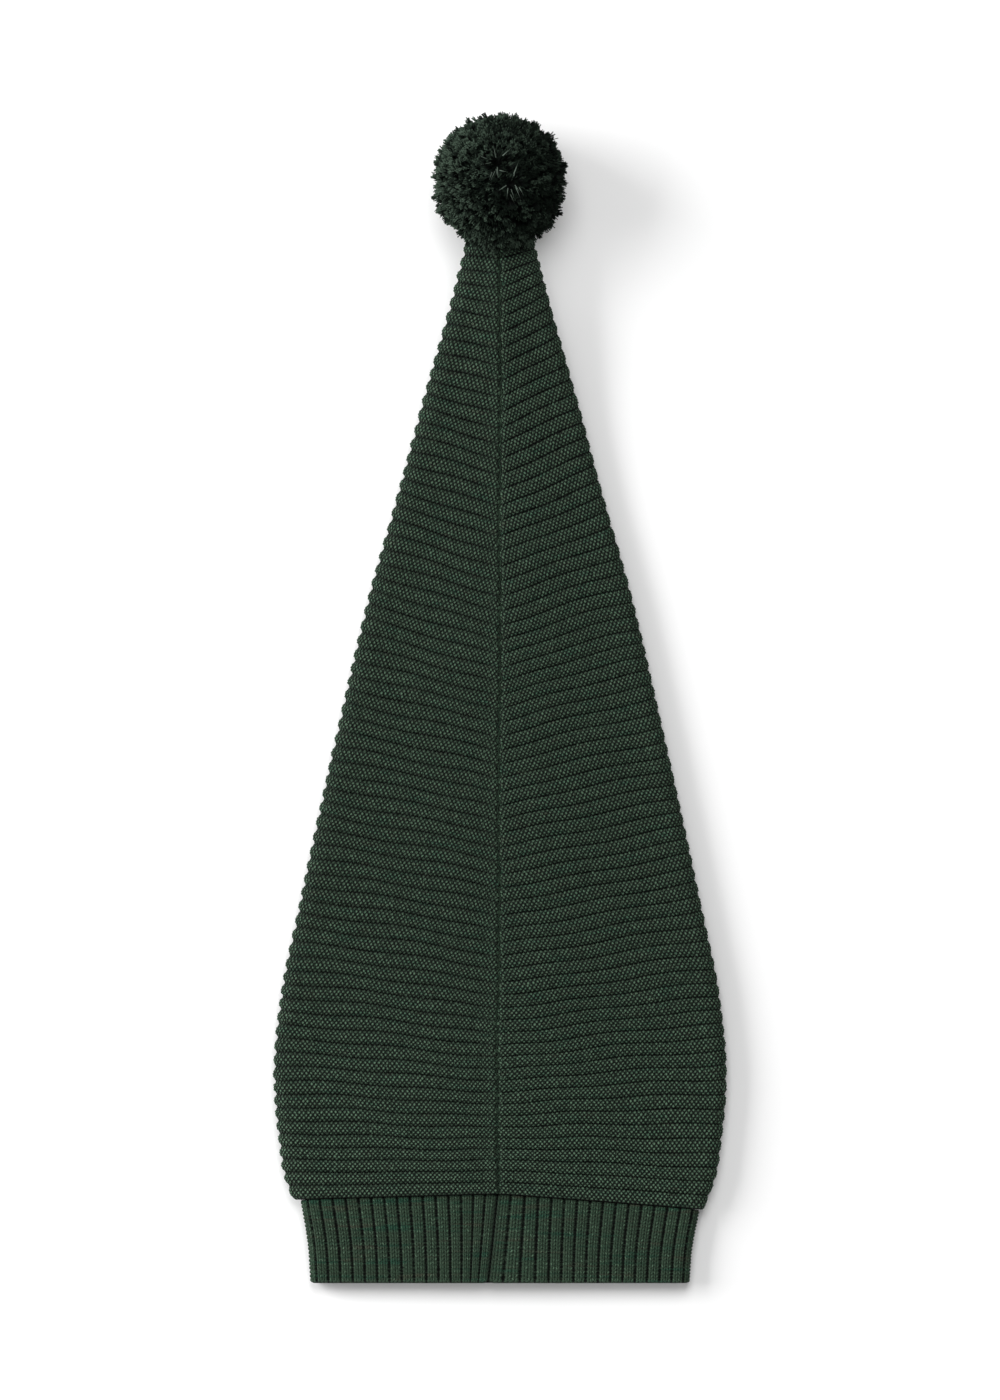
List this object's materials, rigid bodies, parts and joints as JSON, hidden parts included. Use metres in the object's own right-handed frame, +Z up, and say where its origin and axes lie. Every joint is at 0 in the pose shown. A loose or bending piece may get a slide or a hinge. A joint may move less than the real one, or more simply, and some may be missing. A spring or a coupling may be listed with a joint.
{
  "type": "knitted elf hat",
  "caption": "Long pointed knitted hat with rolled ridges round the peak, a ribbed cuff and a cut-yarn pompom, lying flat with its back seam up.",
  "frame": {"origin": "on the surface that the hat lies on, under the middle of its box", "axes": "+Y from the hem to the pompom, +X to the right as the seam side is looked down on, +Z up"},
  "size_m": [0.239, 0.6176, 0.067],
  "materials": {
    "peak_knit": "very dark green heathered acrylic yarn, purl ridges",
    "cuff_knit": "the same yarn in two by one rib",
    "seam_yarn": "the same yarn, stitched",
    "pompom_yarn": "cut ends of a slightly darker yarn",
    "tie_yarn": "the pompom's yarn, wound tight"
  },
  "bodies": {
    "root": {"peak": "peak_knit", "cuff": "cuff_knit", "back_seam": "seam_yarn", "pompom": "pompom_yarn", "pompom_tie": "tie_yarn"}
  },
  "joints": []
}
